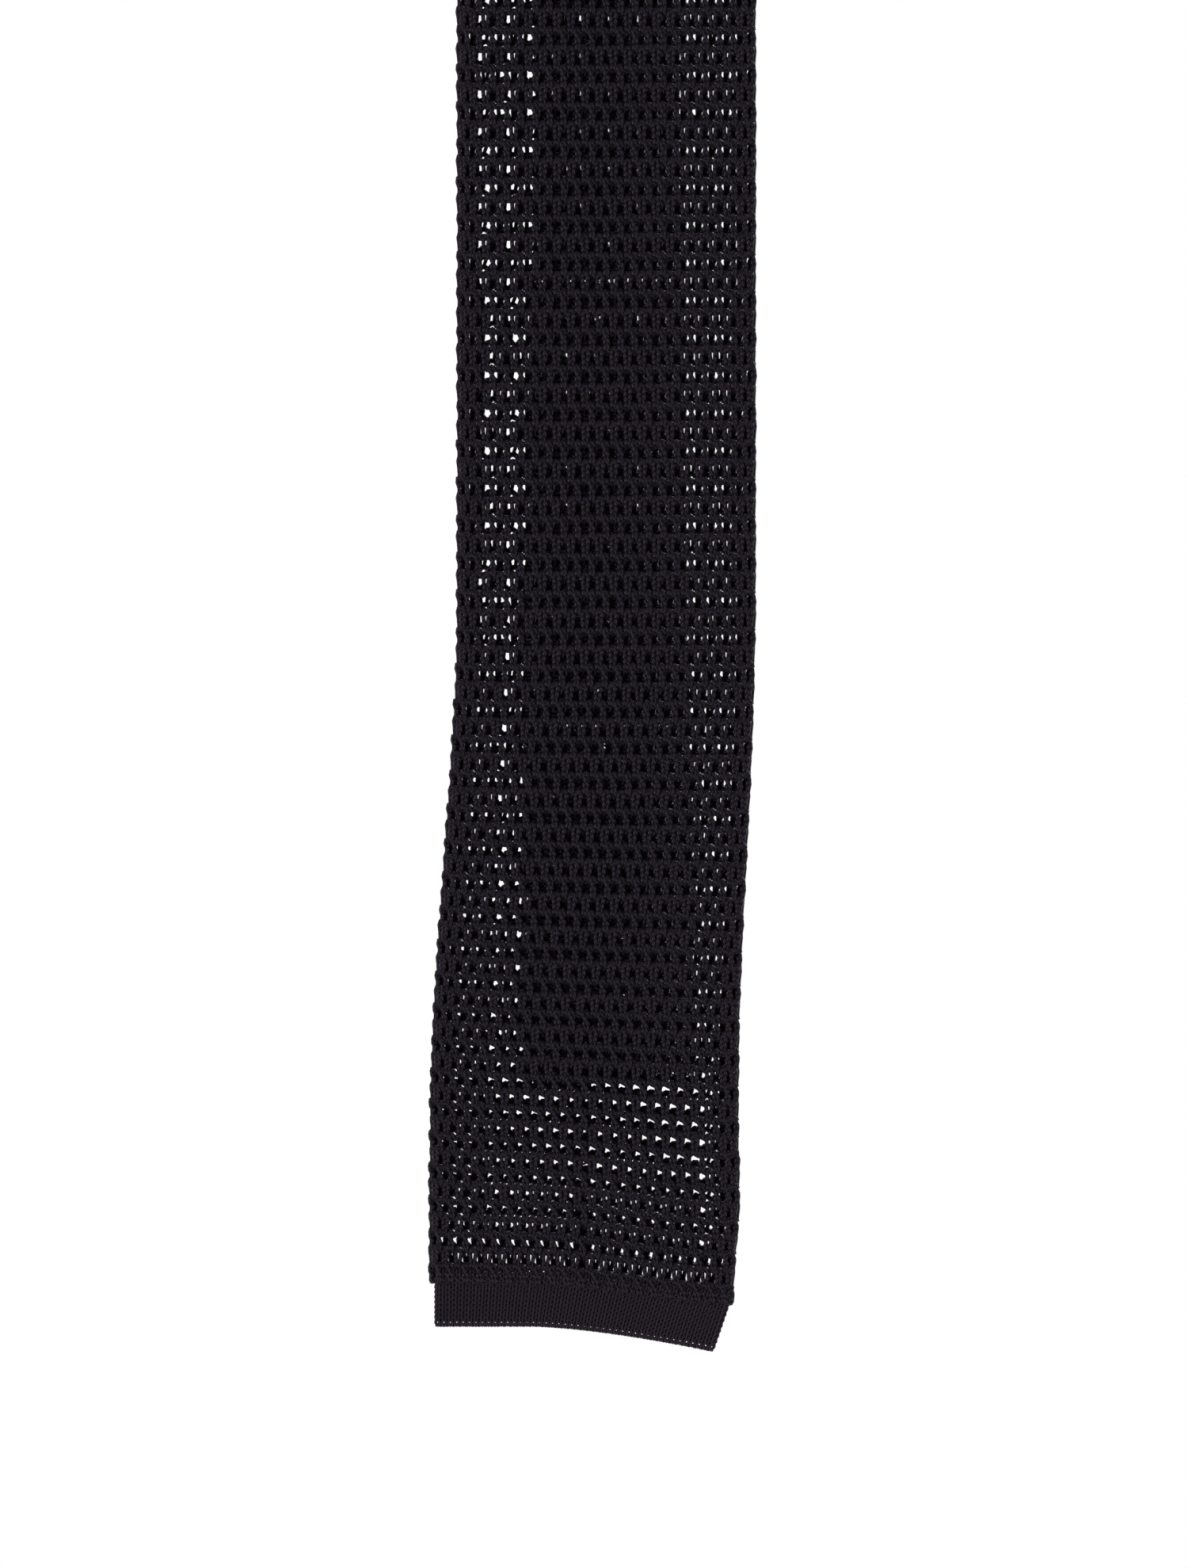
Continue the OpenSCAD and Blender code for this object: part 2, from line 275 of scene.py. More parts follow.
def addNode(tree, kind, settings=None, links=None):
    # one node, with its settings, its socket values and its links
    made = tree.nodes.new(kind)
    for key, value in (settings or {}).items():
        if isinstance(key, str) and hasattr(made, key):
            setattr(made, key, value)
        else:
            made.inputs[key].default_value = value
    for key, source in (links or {}).items():
        tree.links.new(source, made.inputs[key])
    return made


def startMaterial(name, values):
    # a new material with the shader's fixed values
    material = bpy.data.materials.new(name)
    material.use_nodes = True
    shader = material.node_tree.nodes["Principled BSDF"]
    for socket, value in values.items():
        shader.inputs[socket].default_value = linear(value) if isinstance(value, str) else value
    return material, material.node_tree, shader


def dyedReliefPaintedShade(name, look, height, cloudDetail, depth):
    # What every textile here shares. height makes the relief, from 0 to 1: its low parts get painted shade in
    # the base colour and are rough, its high parts gleam, and a slow cloud changes the dye a little from
    # place to place.
    material, tree, shader = startMaterial(name, look["shader"])
    relief = height(tree, addNode(tree, "ShaderNodeUVMap", {"uv_map": "yarn"}))
    place = addNode(tree, "ShaderNodeTexCoord")
    cloudScale = {"Scale": 1 / (look["cloudSize"] * mm), "Detail": cloudDetail}
    cloud = addNode(tree, "ShaderNodeTexNoise", cloudScale, {"Vector": place.outputs["Object"]})
    dyes = {"data_type": "RGBA", 6: linear(look["dark"]), 7: linear(look["light"])}
    dye = addNode(tree, "ShaderNodeMix", dyes, {0: cloud.outputs[0]})
    # painted shade: the dyed colour is multiplied down to grooveShade where the relief is low, darkening the
    # grooves between threads
    groove = addNode(tree, "ShaderNodeMapRange", {3: look["grooveShade"], 4: 1.0}, {0: relief.outputs[0]})
    colour = addNode(tree, "ShaderNodeMix", {"data_type": "RGBA", "blend_type": "MULTIPLY", 0: 1.0},
                     {6: dye.outputs[2], 7: groove.outputs[0]})
    rough = addNode(tree, "ShaderNodeMapRange", {3: look["roughGroove"], 4: look["roughCrown"]},
                    {0: relief.outputs[0]})
    bump = addNode(tree, "ShaderNodeBump", {"Strength": look["bump"], "Distance": depth * mm},
                   {"Height": relief.outputs[0]})
    tree.links.new(colour.outputs[2], shader.inputs["Base Color"])
    tree.links.new(rough.outputs[0], shader.inputs["Roughness"])
    tree.links.new(bump.outputs[0], shader.inputs["Normal"])
    return material


def waveOf(tree, source, rate):
    # cosine of a value that is first multiplied by rate
    phase = addNode(tree, "ShaderNodeMath", {"operation": "MULTIPLY", 1: rate}, {0: source})
    return addNode(tree, "ShaderNodeMath", {"operation": "COSINE"}, {0: phase.outputs[0]})


def pliedThread(name, look):
    # Twisted thread. Its uv runs round the thread and along it, so wave = cos(2 pi plies (u + turns v)): a
    # crown on each ply that gleams, and a groove between plies that gets painted shade in its colour.
    def height(tree, uv):
        uvParts = addNode(tree, "ShaderNodeSeparateXYZ", links={0: uv.outputs[0]})
        twist = addNode(tree, "ShaderNodeMath", {"operation": "MULTIPLY_ADD", 1: look["turns"]},
                        {0: uvParts.outputs[1], 2: uvParts.outputs[0]})
        wave = waveOf(tree, twist.outputs[0], 2 * math.pi * look["plies"])
        return addNode(tree, "ShaderNodeMapRange", {1: -1.0, 2: 1.0}, {0: wave.outputs[0]})

    return dyedReliefPaintedShade(name, look, height, 3.0, look["plyDepth"])


def wovenBand(name, look):
    # Narrow woven band. Its uv is in millimetres: warp = cos(2 pi u / warp) and weft =
    # cos(2 pi (v + slant u) / weft), mixed by the weft's share of the surface.
    def height(tree, uv):
        uvParts = addNode(tree, "ShaderNodeSeparateXYZ", links={0: uv.outputs[0]})
        slanted = addNode(tree, "ShaderNodeMath", {"operation": "MULTIPLY_ADD", 1: look["slant"]},
                          {0: uvParts.outputs[0], 2: uvParts.outputs[1]})
        warp = waveOf(tree, uvParts.outputs[0], 2 * math.pi / look["warp"])
        weft = waveOf(tree, slanted.outputs[0], 2 * math.pi / look["weft"])
        threads = addNode(tree, "ShaderNodeMix", {"data_type": "FLOAT", 0: look["weftShare"]},
                          {2: warp.outputs[0], 3: weft.outputs[0]})
        return addNode(tree, "ShaderNodeMapRange", {1: -1.0, 2: 1.0}, {0: threads.outputs[0]})

    return dyedReliefPaintedShade(name, look, height, 4.0, look["threadDepth"])


silkShader = {"IOR": 1.54, "Sheen Roughness": 0.4, "Sheen Tint": "#b8a8c4", "Specular Tint": "#e8d4f2"}
# Silk organzine, two plies twisted hard together and dyed black: long smooth filaments give each ply a narrow
# clean gleam with a faint violet cast, and hardly any fuzz. IOR of silk fibroin.
meshSilk = pliedThread("black silk organzine, mesh knit", {
    "turns": 7.0, "plies": 2, "cloudSize": 11.0, "dark": "#060508", "light": "#0c0a0f", "grooveShade": 0.25,
    "roughGroove": 0.7, "roughCrown": 0.26, "bump": 0.9, "plyDepth": 0.2,
    "shader": silkShader | {"Sheen Weight": 0.04},
})
# The same silk in a finer count, knitted plain and tight for the ends: flatter, with a dull even gleam.
weltSilk = pliedThread("black silk organzine, plain welt", {
    "turns": 3.0, "plies": 2, "cloudSize": 7.0, "dark": "#0b0a0c", "light": "#131114", "grooveShade": 0.6,
    "roughGroove": 0.62, "roughCrown": 0.40, "bump": 0.5, "plyDepth": 0.08,
    "shader": silkShader | {"Sheen Weight": 0.08},
})
# Three-ply silk buttonhole twist: rounder and brighter than the knit beside it.
sewingSilk = pliedThread("black silk buttonhole twist, three ply", {
    "turns": 1.0, "plies": 3, "cloudSize": 5.0, "dark": "#0b0a0d", "light": "#17151a", "grooveShade": 0.5,
    "roughGroove": 0.6, "roughCrown": 0.38, "bump": 0.8, "plyDepth": 0.07,
    "shader": silkShader | {"Sheen Weight": 0.06},
})
# Rayon grosgrain: a fine warp packed over thick weft cords, so ribs run straight across and shine along
# their tops.
keeperRayon = wovenBand("black rayon grosgrain, woven", {
    "warp": 0.34, "weft": 0.9, "slant": 0.0, "weftShare": 0.55, "cloudSize": 6.0, "dark": "#0c0c0e",
    "light": "#16161a", "grooveShade": 0.45, "roughGroove": 0.6, "roughCrown": 0.36, "bump": 0.7,
    "threadDepth": 0.12,
    "shader": {"IOR": 1.5, "Sheen Weight": 0.1, "Sheen Roughness": 0.4, "Anisotropic": 0.3},
})
# Black polyester satin: long warp floats that lie side by side give an even shine; its threads, a tenth of
# a millimetre apart, are drawn three times as coarse so that they show.
labelSatin = wovenBand("black polyester satin, woven label", {
    "warp": 0.32, "weft": 1.3, "slant": 0.62, "weftShare": 0.3, "cloudSize": 9.0, "dark": "#111115",
    "light": "#1c1c21", "grooveShade": 0.6, "roughGroove": 0.45, "roughCrown": 0.26, "bump": 0.35,
    "threadDepth": 0.05,
    "shader": {"IOR": 1.57, "Anisotropic": 0.4, "Coat Weight": 0.08, "Coat Roughness": 0.3},
})
# White polyester satin tape, cut with a hot knife: cool white, smooth, a little see-through at the edges.
tagSatin = wovenBand("white polyester satin, hot cut tape", {
    "warp": 0.36, "weft": 1.1, "slant": 0.55, "weftShare": 0.3, "cloudSize": 8.0, "dark": "#dedcd6",
    "light": "#ece9e3", "grooveShade": 0.86, "roughGroove": 0.5, "roughCrown": 0.3, "bump": 0.3,
    "threadDepth": 0.05, "shader": {"IOR": 1.57, "Subsurface Weight": 0.05, "Subsurface Scale": 0.0005},
})
# Cotton twill tape dyed black in the piece: matt, with a steep diagonal wale.
stayCotton = wovenBand("black cotton twill tape, piece dyed", {
    "warp": 0.5, "weft": 1.1, "slant": 1.0, "weftShare": 0.7, "cloudSize": 4.0, "dark": "#131214",
    "light": "#1e1d20", "grooveShade": 0.55, "roughGroove": 0.9, "roughCrown": 0.75, "bump": 0.8,
    "threadDepth": 0.1, "shader": {"IOR": 1.53, "Sheen Weight": 0.25, "Sheen Roughness": 0.6},
})
print("materials made")

# ---- the open mesh knit ----
# Each stitch is a post between two holes. Its yarn comes along the ridge below, behind the heads of the lower
# row, rises through that ridge as the post's first strand, makes the head in the ridge above, comes down as
# the second strand and goes on along the ridge. Points are: across in stitches, up in rows, out in mm.
meshStitch = {
    "upright": [                   # even rows: the head rolls over to the right shoulder
        [-0.50, -0.93, -0.28], [-0.27, -1.03, -0.18], [-0.10, -0.98, 0.14], [-0.13, -0.62, 0.18],
        [-0.17, -0.26, 0.26], [-0.16, 0.03, 0.16], [-0.02, 0.17, 0.06], [0.13, 0.12, 0.28],
        [0.19, -0.12, 0.46], [0.15, -0.50, 0.26], [0.10, -0.98, 0.14], [0.27, -1.03, -0.18],
    ],
    "crossed": [                   # odd rows: the second strand starts at the left and crosses over the first
        [-0.50, -0.93, -0.28], [-0.27, -1.03, -0.18], [-0.08, -0.98, 0.15], [-0.14, -0.62, 0.16],
        [-0.04, -0.26, -0.02], [0.10, -0.02, 0.08], [0.04, 0.13, 0.10], [-0.12, 0.14, 0.24],
        [-0.24, -0.02, 0.42], [-0.06, -0.30, 0.48], [0.14, -0.62, 0.28], [0.08, -0.98, 0.15],
        [0.27, -1.03, -0.18],
    ],
    "lean": [0.0, 0.06],           # how far the posts of even and odd rows lean to the left
    "columns": 21,                 # stitches from mid face to mid back, without the leg's "crowded" ones
    "yarnR": [0.422, 0.475],       # blade and tail, no thicker than the sheets' area check lets through
    "ridgeR": 0.54,                # a second yarn runs along each ridge and twines round the heads and feet
    "ridgeAt": [0.02, -0.02],      # blade and tail
    "ridgeSway": [0.11, 0.18],     # how far it swings from there
    "foldR": 0.88,                 # radius of the cloth's fold at each edge, to the middle of the layer
    "foldZone": 3.0,               # how far beside the fold the stitches crowd together
    "shiftZone": [-1.5, 4],        # where, past the fold's start, the back's rows leave the face's
    "bulge": 0.62,                 # what the yarn stands out from there
    "rowPitch": [3.6, 3.04],       # row height above and near the hem
    "pitchChange": [600.0, 705.0],
    "uneven": [0.035, 0.03, 0.07],  # the cloth's unevenness: across, up, out
}


def stitchRoutes(samples):
    # one stitch's yarn for even rows and for odd rows
    both = np.stack([throughPoints(meshStitch[kind], samples) for kind in ("upright", "crossed")])
    window = np.sin(np.pi * np.arange(samples) / samples) ** 2
    both[..., 0] -= np.array(meshStitch["lean"])[:, None] * (both[..., 1] + 0.5) * window
    return both


def rowPitch(drop):
    return np.interp(drop, meshStitch["pitchChange"], meshStitch["rowPitch"])


def rowPlaces(bottom):
    # Rows counted up from the hem: a row is where the sum of 1 / pitch comes to a whole number
    drop = np.linspace(bottom, -archLength, 6000)
    pitch = rowPitch(drop)
    count = np.concatenate([[0], np.cumsum(2 / (pitch[1:] + pitch[:-1]) * -np.diff(drop))])
    rows = np.arange(1, int(count[-1]) + 1)
    places = np.interp(rows, count, drop)
    return places, rowPitch(places), rows


def lineUp(part, across, drop):
    # the move across that puts the back layer's posts behind the face's, down to where the leg is full width
    spare = roundLeg(part, drop) / stitchWide
    return -stitchWide * np.sign(across) * (spare - np.round(spare)) * (drop <= part["fullFrom"])


# Where light shows through the blade. Distances across are from its middle, places down are drops; a pair of
# values is where a change begins and where it is complete.
bladeHoles = {
    "foldDrops": [590, 650],       # beside each fold the view is closed, on a strip that widens here
    "leftFold": [26.5, 19.5],      # the strips' inner edges at those two drops
    "rightFold": [26.5, 24.0],
    "foldSoft": 1.5,
    "patch": 0.85,                 # the mesh is nearly closed above the hem, right of the middle
    "patchDrops": [714, 722],
    "patchLeft": [-3, 2],
    "patchRight": [20, 22],
    "hemDrops": [725, 732],        # and closed just above the hem
    "leftSide": [-6, 6],           # the left strip is more open than the right one
    "open": 0.18,
    "openLeft": 0.46,
    "stripes": 1.3,                # the open columns, in radians a millimetre; they wander on their way down
    "stripeStart": 0.6,
    "wander": [0.8, 19, 0.5, 5.3],
    "stripeEdge": [-0.1, 0.95],
    "tailEnd": [690, 700],         # below the tail's end nearly all holes are open
    "leftDrops": [628, 655],       # on the left more of them are, from higher up
    "leftMore": 0.55,
    "openBelow": 0.72,
    "ripple": [0.2, 4.9, 4.1],
    "shift": 0.36,                 # the back layer's rows lie this share of a row higher
    "shiftBelow": 0.05,
    "shiftDrops": [726, 737],
}


def bladeMisfit(across, drop):
    # How far the back layer's stitches are out of line with the face's, across and down. Half a stitch across
    # closes the view; where it is less, light shows through: half a stitch (1 - opening (1 - closed)).
    holes = bladeHoles
    soft = holes["foldSoft"]
    leftEdge = np.interp(drop, holes["foldDrops"], holes["leftFold"])
    rightEdge = np.interp(drop, holes["foldDrops"], holes["rightFold"])
    closed = ease(-across, leftEdge - soft, leftEdge + soft)
    closed += ease(across, rightEdge - soft, rightEdge + soft)
    patch = ease(drop, *holes["patchDrops"]) * ease(across, *holes["patchLeft"])
    closed += holes["patch"] * patch * (1 - ease(across, *holes["patchRight"]))
    closed = np.minimum(closed + ease(drop, *holes["hemDrops"]), 1)
    low, left = ease(drop, *holes["tailEnd"]), 1 - ease(across, *holes["leftSide"])
    slow, slowLength, quick, quickLength = holes["wander"]
    wander = slow * np.sin(drop / slowLength) + holes["stripeStart"] + quick * np.sin(drop / quickLength)
    stripes = ease(np.sin(holes["stripes"] * across + wander), *holes["stripeEdge"])
    opening = (holes["open"] + holes["openLeft"] * left) * stripes
    below = np.maximum(low, holes["leftMore"] * left * ease(drop, *holes["leftDrops"]))
    deep, downLength, acrossLength = holes["ripple"]
    openBelow = holes["openBelow"] + deep * np.sin(drop / downLength - across / acrossLength)
    opening += (openBelow - opening) * below
    moveX = stitchWide / 2 * (1 - opening * (1 - closed))
    up = (holes["shift"] + holes["shiftBelow"] * low) * (1 - ease(drop, *holes["shiftDrops"]))
    return lineUp(blade, across, drop) + moveX, -up * rowPitch(drop)


def tailMisfit(across, drop):
    # half a stitch everywhere, so that the narrow tail closes the view
    return stitchWide / 2 + lineUp(tail, across, drop), 0 * drop


bladeSag = {
    "slope": 0.045,                # rows sink this much a millimetre to the right
    "slopeDrops": [610, 700],
    "lastLess": 0.4,               # and by this share less near the hem
    "lastDrops": [712, 737],
    "corner": 2.6,                 # there the right side sinks further by this much
    "cornerAcross": [-8, 27],
    "cornerDrops": [685, 737],
}


def bladeTilt(across, drop):
    # rows sink a little to the right near the end, and the last ones more
    sag = bladeSag
    less = 1 - sag["lastLess"] * ease(drop, *sag["lastDrops"])
    slope = sag["slope"] * across * ease(drop, *sag["slopeDrops"]) * less
    return slope + sag["corner"] * ease(across, *sag["cornerAcross"]) * ease(drop, *sag["cornerDrops"])


def tailTilt(across, drop):
    return 0 * across


blade = {"side": front, "half": bladeHalf, "middle": bladeMid, "misfit": bladeMisfit, "tilt": bladeTilt,
         "fullFrom": tie["taperTo"], "end": tie["hemTop"], "ridgeTwines": 2,
         "crowded": 1.5, "yarnR": meshStitch["yarnR"][0]}
tail = {"side": rear, "half": tailHalf, "middle": tailMid, "misfit": tailMisfit, "tilt": tailTilt,
        "fullFrom": 9999.0, "end": tie["tailHemTop"], "ridgeTwines": 1,
        "crowded": 0.5, "yarnR": meshStitch["yarnR"][1]}
archLength = np.pi / 2 * tie["mid"]          # quarter turn over the bar, along the middle of the cloth
stitchWide = halfRound(tie["bladeHalf"] - meshStitch["bulge"], meshStitch["foldR"]) / meshStitch["columns"]


def roundLeg(part, drop):
    # distance round the leg's knit from the middle of its face to the middle of its back
    return halfRound(part["half"](drop) - meshStitch["bulge"], meshStitch["foldR"])


def onLeg(part, around, drop, out):
    # From flat cloth to its place: round the flattened tube, with the back layer moved by its misfit, then
    # over the bar
    half = part["half"](drop) - meshStitch["bulge"]
    foldR = meshStitch["foldR"]
    edge = half - foldR
    crowd = part["crowded"] * stitchWide
    foldZone = meshStitch["foldZone"]
    turned = ease(np.abs(around), edge - foldZone, edge + np.pi * foldR + foldZone + crowd)
    around = around - crowd * turned * np.sign(around)
    moveX, moveDown = part["misfit"](roundTube(around, half, foldR)[0], drop)
    around = around - (moveX - stitchWide / 2) * turned
    across, layer, normalX, normalOut = roundTube(around, half, foldR)
    shifted = ease(np.abs(around), edge + meshStitch["shiftZone"][0], edge + meshStitch["shiftZone"][1])
    drop = drop + moveDown * shifted + part["tilt"](across, drop)
    x = across + out * normalX + part["middle"](drop)
    place = overBar(part["side"], x, drop, layer + out * normalOut)
    return place, outward(part["side"], normalX, normalOut, drop)


def knitPiece(name, part, fromDrop, toDrop, samples, sides, ridgeSamples):
    # Each row's yarn runs from the back seam round the face to the back seam again. The ridge yarn twines:
    # up = sway cos(2 pi twines turn) and out = sway sin(2 pi twines turn), with turn counted in stitches.
    drops, heights, numbers = rowPlaces(part["end"])
    mine = (drops > fromDrop) & (drops <= toDrop)
    drops, heights, odd = drops[mine, None], heights[mine, None], numbers[mine, None] % 2
    around = roundLeg(part, drops)
    wide = np.where(drops > part["fullFrom"], around / meshStitch["columns"], stitchWide)
    stitches = (2 * (np.round(around / wide) + part["crowded"] + 0.5) - odd).astype(int)
    rings = np.arange(stitches.max() * samples + 1)
    stitch, sample = rings // samples, rings % samples
    window = np.sin(np.pi * sample / samples)[:, None] ** 2
    uneven = randoms.normal(0, 1, (len(drops), stitches.max() + 1, 3)) * meshStitch["uneven"]
    route = stitchRoutes(samples)[odd, sample[None, :]] + uneven[:, stitch] * window
    turns = stitch + route[..., 0] - (stitches - 1) / 2
    centre, normal = onLeg(part, turns * wide, drops - route[..., 1] * heights, route[..., 2])
    length = stitches[:, 0] * samples + 1
    posts = makeThreads(name, centre, normal, length, part["yarnR"], sides, rings / samples, meshSilk)
    turn = np.arange(stitches.max() * ridgeSamples + 1) / ridgeSamples
    phase = 2 * np.pi * (part["ridgeTwines"] * turn + 0.125)
    up = meshStitch["ridgeAt"][0] + meshStitch["ridgeSway"][0] * np.cos(phase)
    out = meshStitch["ridgeAt"][1] + meshStitch["ridgeSway"][1] * np.sin(phase)
    out = np.broadcast_to(out, (len(drops), len(turn)))
    centre, normal = onLeg(part, (turn - stitches / 2) * wide, drops - up * heights, out)
    length = stitches[:, 0] * ridgeSamples + 1
    ridges = makeThreads(name + "_ridge", centre, normal, length, meshStitch["ridgeR"], 4, turn, meshSilk)
    return posts, ridges


# Stretches of knit. Each crosses one bend at most, and two stretches meet where both ride on the same body.
bladeSwing, bladeFold, bladeCurl = bendDrop("blade_swing"), bendDrop("blade_fold"), bendDrop("blade_curl")
tailSwing, tailFold = bendDrop("tail_swing"), bendDrop("tail_fold")
bladeBends = {
    "swing": ("neck", "blade_upper", bladeSwing), "fold": ("blade_upper", "blade_lower", bladeFold),
    "chest": ("blade_lower", None, 0), "curl": ("blade_lower", "blade_tip", bladeCurl),
    "tip": ("blade_tip", None, 0),
}
tailBends = {
    "swing": ("neck", "tail_upper", tailSwing), "fold": ("tail_upper", "tail_lower", tailFold),
    "tip": ("tail_lower", None, 0),
}
knitStretches = [
    # name, leg, from, to, bend, samples in a stitch, sides, the same samples for the ridge, CAD node
    ("knit_neck_blade", blade, -archLength, 180, bladeBends["swing"], 9, 4, 6, "neck_knit"),
    ("knit_blade_fold", blade, 180, 325, bladeBends["fold"], 9, 4, 6, "blade_upper_knit"),
    ("knit_blade_chest", blade, 325, 410, bladeBends["chest"], 9, 4, 6, "blade_lower_knit"),
    ("knit_blade_keeper", blade, 410, 488, bladeBends["chest"], 9, 4, 6, "blade_lower_knit"),
    ("knit_blade_curl", blade, 488, 562, bladeBends["curl"], 12, 5, 8, "blade_tip_knit"),
    ("knit_blade_low", blade, 562, 625, bladeBends["tip"], 12, 5, 8, "blade_tip_knit"),
    ("knit_blade_lower", blade, 625, 684, bladeBends["tip"], 12, 5, 8, "blade_tip_knit"),
    ("knit_blade_end", blade, 684, tie["hemTop"] + 1, bladeBends["tip"], 17, 5, 10, "blade_tip_knit"),
    ("knit_neck_tail", tail, -archLength, 220, tailBends["swing"], 9, 4, 4, "neck_knit"),
    ("knit_tail_fold", tail, 220, 460, tailBends["fold"], 9, 4, 4, "tail_upper_knit"),
    ("knit_tail_end", tail, 460, tie["tailHemTop"] + 1, tailBends["tip"], 9, 4, 4, "tail_lower_knit"),
]
for name, part, fromDrop, toDrop, bend, samples, sides, ridgeSamples, node in knitStretches:
    posts, ridges = knitPiece(name, part, fromDrop, toDrop, samples, sides, ridgeSamples)
    drops = np.linspace(fromDrop, min(toDrop, part["end"]), 50)
    # the sheet's measured area is the posts' alone: the ridges are part of the knit too, but aren't counted
    2 * np.mean(roundLeg(part, drops)) * mm
    for piece in (posts, ridges):
        follow(piece, bend)
        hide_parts(node)
    print("knit", name, 2 * (len(posts.data.polygons) + len(ridges.data.polygons)), "triangles")

# ---- plain knitted welts at the two ends ----
plainStitch = {
    "swing": 0.22, "reach": 0.95, "lift": 0.2,      # the yarn's way across in wales, down in courses, and out
    "uneven": 0.035, "bindR": 0.2, "linkR": 0.24,   # radii of the bind-off and of the linking thread
}
bladeWelt = {
    "part": blade, "body": "blade_tip", "node": "blade_hem", "linkingNode": "blade_hem_linking",
    "samples": 10, "sides": 5, "half": (hemHigh[0] - hemLow[0]) / 2, "middle": (hemHigh[0] + hemLow[0]) / 2,
    "top": tie["hemTop"] - 2.6, "end": tie["bladeEnd"], "wales": 44, "courses": 11,
    "slant": 4.0,                  # the right edge runs in by this much on its way down
    "skew": 4.8,                   # the left corner is this much higher than the right
    "level": 0.35,                 # share of the bottom edge that is level before it slopes down
    "thick": 2.0, "yarnR": 0.31,
    "tuck": 2.0,                   # how far the welt reaches up inside the mesh
}
tailWelt = {
    "part": tail, "body": "tail_lower", "node": "tail_hem", "linkingNode": "tail_hem_linking",
    "samples": 10, "sides": 4, "half": tailHemHigh[0], "middle": 0.0, "top": tie["tailHemTop"] - 2.6,
    "end": tie["tailEnd"], "wales": 24, "courses": 9, "slant": 0.0, "skew": -2.5, "level": 0.0, "thick": 2.0,
    "yarnR": 0.31, "tuck": 2.0,
}


def weltFold(welt):
    # radius of the fold at each edge, a little less than half the thickness
    return welt["thick"] / 2 - welt["yarnR"] - 0.1


def onWelt(welt, around, down, out):
    # Round the flattened tube, then into its outline: down runs from 0 at the top to 1 at the bottom edge,
    # whose drop is end - skew + skew rise^1.5, where rise goes from 0 to 1 over the part that slopes. With a
    # negative skew it is end + skew rise.
    half = welt["half"] - welt["yarnR"]
    across, layer, normalX, normalOut = roundTube(around, half, weltFold(welt))
    share = np.clip((across / half + 1) / 2, 0, 1)
    rise = np.clip((share - welt["level"]) / (1 - welt["level"]), 0, 1)
    skew = welt["skew"] * rise ** 1.5 if welt["skew"] > 0 else welt["skew"] * rise
    bottom = welt["end"] - max(welt["skew"], 0) + skew - welt["yarnR"]
    top = welt["top"] + welt["part"]["tilt"](across, welt["top"])
    drop = top + down * (bottom - top)
    left = welt["middle"] - half
    x = left + (across + half) * (1 - welt["slant"] * down / (2 * half)) + out * normalX
    place = overBar(welt["part"]["side"], x, drop, layer + out * normalOut)
    return place, outward(welt["part"]["side"], normalX, normalOut, drop)


def weltThread(welt, name, along, down, out, threadR, material):
    # threads round the welt: along runs from -1 to 1 round the tube, down from 0 to 1, out in millimetres
    around = along * halfRound(welt["half"] - welt["yarnR"], weltFold(welt))
    centre, normal = onWelt(welt, np.broadcast_to(around, down.shape), down, out)
    rows, rings = down.shape
    piece = makeThreads(name, centre, normal, np.full(rows, rings), threadR, welt["sides"],
                        np.arange(rings) / welt["samples"], material)
    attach(piece, welt["body"])
    return piece


def makeWelt(welt):
    # Plain stitches: across = wale (turn / 2 pi + swing sin 2 turn), down = course - reach cos turn and
    # out = -lift cos 2 turn, once round the tube for each course.
    stitches = 2 * welt["wales"]
    rings = np.arange(stitches * welt["samples"] + 1)
    turn = 2 * np.pi * rings / welt["samples"]
    course = (np.arange(welt["courses"]) + 0.5)[:, None]
    wobble = randoms.normal(0, plainStitch["uneven"], (welt["courses"], stitches + 1))
    wobble = wobble[:, rings // welt["samples"]]
    along = (turn / (2 * np.pi) + plainStitch["swing"] * np.sin(2 * turn)) / stitches * 2 - 1
    down = course - plainStitch["reach"] * np.cos(turn) + wobble * np.sin(turn / 2) ** 2
    piece = weltThread(welt, welt["node"] + "_welt", along, down / (welt["courses"] + 0.5),
                       -plainStitch["lift"] * np.cos(2 * turn), welt["yarnR"], weltSilk)
    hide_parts(welt["node"])
    # the flat length is twice the depth, as for a hem knitted double, but only its outer layer is made
    print("welt", piece.name, len(piece.data.polygons) * 2, "triangles")

    # bind-off: one flat loop a wale along the bottom edge
    along = (turn / (2 * np.pi) + 0.1 * np.sin(2 * turn)) / stitches * 2 - 1
    weltThread(welt, welt["node"] + "_bind_off", along, (0.985 + 0.02 * np.cos(turn))[None],
               0.12 * np.sin(turn)[None], plainStitch["bindR"], weltSilk)

    # linking thread: one slanting loop a wale over the join of mesh and welt
    along = (turn / (2 * np.pi) + 0.25 * np.sin(turn)) / stitches * 2 - 1
    down = welt["tuck"] / (welt["end"] - welt["top"]) + 0.02 + 0.06 * np.sin(turn)
    linking = weltThread(welt, welt["linkingNode"] + "_thread", along, down[None],
                         (0.25 + 0.3 * np.cos(turn))[None], plainStitch["linkR"], sewingSilk)
    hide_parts(welt["linkingNode"])


makeWelt(bladeWelt)
makeWelt(tailWelt)

